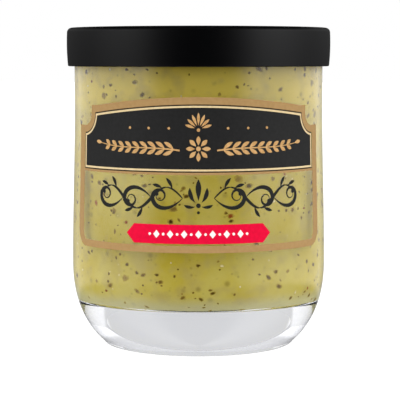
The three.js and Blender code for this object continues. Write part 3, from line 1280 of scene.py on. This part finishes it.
@dataclass
class Studio:
    """A pale floor, a white room with soft boxes, and the camera at the photograph's angle. Sizes in metres.

    The ramps work on directions: front is 1 towards the camera and -1 away from it, height is 1 straight up,
    and aside is 1 to the right.
    """

    photo_side_px: float = 400.0
    focal_px: float = 1605.0
    sensor_mm: float = 36.0
    near_clip: float = 0.01
    eye_height: float = 0.07095
    distance: float = 0.39897
    aside: float = 0.00036
    tilt_degrees: float = 5.127
    floor_half: float = 4.0
    floor_drop_mm: float = 0.02
    # The floor lights matt surfaces from the sides, more of it through glass, and from near the foot.
    # Seen through glass it has a grey card straight behind the jar.
    floor_sides: Ramp = (0.85, 0.2, 0.0, 0.9)
    floor_bent: Ramp = (0.0, 1.0, 0.25, 0.75)
    floor_near: Ramp = (0.035, 0.09, 1.05, 0.0)
    floor_card: Ramp = (-0.94, -0.88, 0.84, 1.5)
    # The room seen through glass is plain straight behind and brighter beside that.
    room_card: Ramp = (-0.805, -0.775, 1.0, 1.5)
    # Boxes that glossy surfaces mirror: dim behind, bright at the sides, none in front and none overhead.
    boxes_rear: Ramp = (-0.95, -0.4, 0.08, 0.3)
    boxes_side: Ramp = (-0.4, 0.45, 0.0, 0.85)
    boxes_lean: Ramp = (-1.0, 1.0, 0.85, 1.2)
    boxes_lift: Ramp = (-0.03, 0.25, 0.9, 2.0)
    boxes_front: Ramp = (0.9, 0.55, 0.0, 1.0)
    boxes_top: Ramp = (0.7, 0.3, 0.0, 1.0)
    # A bright strip just under eye level, which only perfectly smooth surfaces mirror.
    strip_top: Ramp = (-0.002, -0.012, 0.0, 1.0)
    strip_foot: Ramp = (-0.26, -0.2, 0.0, 1.0)
    strip_lean: Ramp = (-1.0, 1.0, 1.4, 1.7)
    strip_rear: Ramp = (-0.94, -0.8, 0.28, 0.65)
    strip_flank: Ramp = (-0.8, -0.2, 0.0, 0.25)
    strip_crest: Ramp = (-0.07, -0.025, 1.0, 1.5)
    # Light on matt surfaces: even all round, a lamp overhead, and side wings for what is behind glass.
    # Outside glass there is only a small share of the wings.
    light_rise: Ramp = (0.0, 0.6, 1.13, 1.35)
    light_overhead: Ramp = (0.75, 1.0, 0.0, 7.5)
    light_wings: Ramp = (0.85, 0.2, 0.0, 1.4)
    outside_wings: float = 0.1
    outside_share: float = 0.99

    def camera(self) -> None:
        """Sets the camera: its focal length in pixels of the photograph gives the lens on the sensor."""
        data = bpy.data.cameras.new("camera")
        data.sensor_width = self.sensor_mm
        data.lens = self.sensor_mm * self.focal_px / self.photo_side_px
        data.clip_start = self.near_clip
        camera = bpy.data.objects.new("camera", data)
        camera.location = (self.aside, -self.distance, self.eye_height)
        camera.rotation_euler = (math.radians(90.0 - self.tilt_degrees), 0.0, 0.0)
        bpy.context.scene.collection.objects.link(camera)
        bpy.context.scene.camera = camera

    def frontness(self, tree: Tree, level: Socket) -> Socket:
        """How far a level vector points to the camera: the cosine of the angle between them."""
        flat = add_node(tree, "VectorMath", (level,), operation="NORMALIZE")
        return add_node(tree, "VectorMath", (flat, TO_CAMERA), operation="DOT_PRODUCT").outputs["Value"]

    def floor(self) -> None:
        """Lays the pale floor a hair below the foot.

        To the camera it is plain white. Seen through the glass it is grey straight behind the jar and
        brighter beside that, and matt surfaces are lit from its sides and from near the foot.
        """
        half = self.floor_half
        mesh = bpy.data.meshes.new("floor")
        corners = [(-half, -half), (half, -half), (half, half), (-half, half)]
        mesh.from_pydata([(x, y, -self.floor_drop_mm * MM) for x, y in corners], [], [(0, 1, 2, 3)])
        floor = bpy.data.objects.new("floor", mesh)
        bpy.context.scene.collection.objects.link(floor)
        material, tree, place = new_material("table_white_acrylic")
        path = add_node(tree, "LightPath").outputs
        front = self.frontness(tree, place)
        far = add_node(tree, "VectorMath", (place,), operation="LENGTH").outputs["Value"]
        side = add_node(tree, "MapRange", (front, *self.floor_sides), **SOFT)
        near = add_node(tree, "MapRange", (far, *self.floor_near), **SOFT)
        card = add_node(tree, "MapRange", (front, *self.floor_card), **SOFT)
        bent = add_node(tree, "MapRange", (path["Is Transmission Ray"], *self.floor_bent))
        wide = add_node(tree, "Math", (side, bent), operation="MULTIPLY")
        soft = add_node(tree, "Math", (wide, near), operation="ADD")
        bounced = add_node(tree, "Math", (path["Diffuse Depth"], 0.5), operation="GREATER_THAN")
        through = add_node(tree, "Mix", {0: bounced, 2: card, 3: soft})
        glow = add_node(tree, "Mix", {0: path["Is Camera Ray"], 2: through, 3: 1.0})
        surface = add_node(tree, "BsdfPrincipled", {
            "Base Color": (0.1, 0.1, 0.1, 1.0), "Roughness": 0.9, "Specular IOR Level": 0.0,
            "Emission Color": WHITE, "Emission Strength": glow,
        })
        add_node(tree, "OutputMaterial", {"Surface": surface})
        mesh.materials.append(material)
        floor.visible_glossy = False

    def mirrored(self, tree: Tree, front: Socket, height: Socket, aside: Socket,
                 smooth_only: Socket) -> bpy.types.Node:
        """What glossy surfaces mirror of the room.

        The boxes are rear plus side light, times their lean to the right and their lift upwards. The strip is
        rear plus flank light, times its lean and its crest, and takes the boxes' place in its band. All of it
        fades to black in front and overhead.

        Args:
            tree: The world's tree.
            front: How far the direction points to the camera.
            height: How far it points up.
            aside: How far it points to the right.
            smooth_only: 1 for a ray off a perfectly smooth surface.

        Returns:
            The node that holds the strength.
        """
        rear = add_node(tree, "MapRange", (front, *self.boxes_rear))
        side = add_node(tree, "MapRange", (front, *self.boxes_side), **SOFT)
        lean = add_node(tree, "MapRange", (aside, *self.boxes_lean))
        lift = add_node(tree, "MapRange", (height, *self.boxes_lift))
        boxes = add_node(tree, "Math", (rear, side), operation="ADD")
        for share in (lean, lift):
            boxes = add_node(tree, "Math", (boxes, share), operation="MULTIPLY")
        strip_lean = add_node(tree, "MapRange", (aside, *self.strip_lean))
        strip_rear = add_node(tree, "MapRange", (front, *self.strip_rear))
        flank = add_node(tree, "MapRange", (front, *self.strip_flank))
        crest = add_node(tree, "MapRange", (height, *self.strip_crest))
        strip = add_node(tree, "Math", (strip_rear, flank), operation="ADD")
        for share in (strip_lean, crest):
            strip = add_node(tree, "Math", (strip, share), operation="MULTIPLY")
        band = add_node(tree, "MapRange", (height, *self.strip_top), **SOFT)
        foot = add_node(tree, "MapRange", (height, *self.strip_foot), **SOFT)
        for share in (foot, smooth_only):
            band = add_node(tree, "Math", (band, share), operation="MULTIPLY")
        room = add_node(tree, "Mix", {0: band, 2: boxes, 3: strip})
        not_in_front = add_node(tree, "MapRange", (front, *self.boxes_front), **SOFT)
        not_overhead = add_node(tree, "MapRange", (height, *self.boxes_top), **SOFT)
        for share in (not_in_front, not_overhead):
            room = add_node(tree, "Math", (room, share), operation="MULTIPLY")
        return room

    def lighting(self, tree: Tree, front: Socket, height: Socket, bent: Socket) -> bpy.types.Node:
        """What the room gives matt surfaces: more at the sides for those that are behind glass.

        Args:
            tree: The world's tree.
            front: How far the direction points to the camera.
            height: How far it points up.
            bent: 1 for a ray that came through glass.

        Returns:
            The node that holds the strength.
        """
        rise = add_node(tree, "MapRange", (height, *self.light_rise))
        overhead = add_node(tree, "MapRange", (height, *self.light_overhead), **SOFT)
        wings = add_node(tree, "MapRange", (front, *self.light_wings), **SOFT)
        ceiling = add_node(tree, "Math", (rise, overhead), operation="ADD")
        inside = add_node(tree, "Math", (ceiling, wings), operation="ADD")
        low_wings = add_node(tree, "Math", (wings, self.outside_wings), operation="MULTIPLY")
        even = add_node(tree, "Math", (ceiling, low_wings), operation="ADD")
        outside = add_node(tree, "Math", (even, self.outside_share), operation="MULTIPLY")
        return add_node(tree, "Mix", {0: bent, 2: outside, 3: inside})

    def world(self) -> None:
        """Fills the room with white light that differs by what it reaches.

        The camera sees plain white. Through glass the room has a brighter part on each side, glossy surfaces
        mirror its boxes, and matt surfaces take its light.
        """
        world = bpy.data.worlds.new("studio_white")
        world.use_nodes = True
        tree = world.node_tree
        tree.nodes.clear()
        way = add_node(tree, "TexCoord").outputs["Generated"]
        level = add_node(tree, "VectorMath", (way, (1.0, 1.0, 0.0)), operation="MULTIPLY").outputs[0]
        front = self.frontness(tree, level)
        aside, _, height = add_node(tree, "SeparateXYZ", (way,)).outputs
        path = add_node(tree, "LightPath").outputs
        bent = path["Is Transmission Ray"]
        mirrored = self.mirrored(tree, front, height, aside, path["Is Singular Ray"])
        lighting = self.lighting(tree, front, height, bent)
        card = add_node(tree, "MapRange", (front, *self.room_card), **SOFT)
        bounced = add_node(tree, "Math", (path["Diffuse Depth"], 0.5), operation="GREATER_THAN")
        shine = add_node(tree, "Mix", {0: path["Is Glossy Ray"], 2: 1.0, 3: mirrored})
        seen = add_node(tree, "Mix", {0: bent, 2: shine, 3: card})
        strength = add_node(tree, "Mix", {0: bounced, 2: seen, 3: lighting})
        back = add_node(tree, "Background", {"Color": WHITE, "Strength": strength})
        add_node(tree, "OutputWorld", {"Surface": back})
        bpy.context.scene.world = world

    def build(self) -> None:
        """Sets up camera, floor and world, and shows colours as they are."""
        self.camera()
        self.floor()
        self.world()
        bpy.context.scene.view_settings.view_transform = "Standard"


def main() -> None:
    """Builds the jar piece by piece and reports each, then builds the studio."""
    logging.basicConfig(level=logging.INFO, format="%(name)s: %(message)s")
    tumbler = Tumbler()
    pieces = [tumbler.build(), *Filling(tumbler).build(), PressOnCap().build(), *WrapLabel(tumbler).build()]
    for piece in pieces:
        log.info("%s: %d vertices, %d faces", piece.name, len(piece.data.vertices), len(piece.data.polygons))
    Studio().build()


if __name__ == "__main__":
    main()
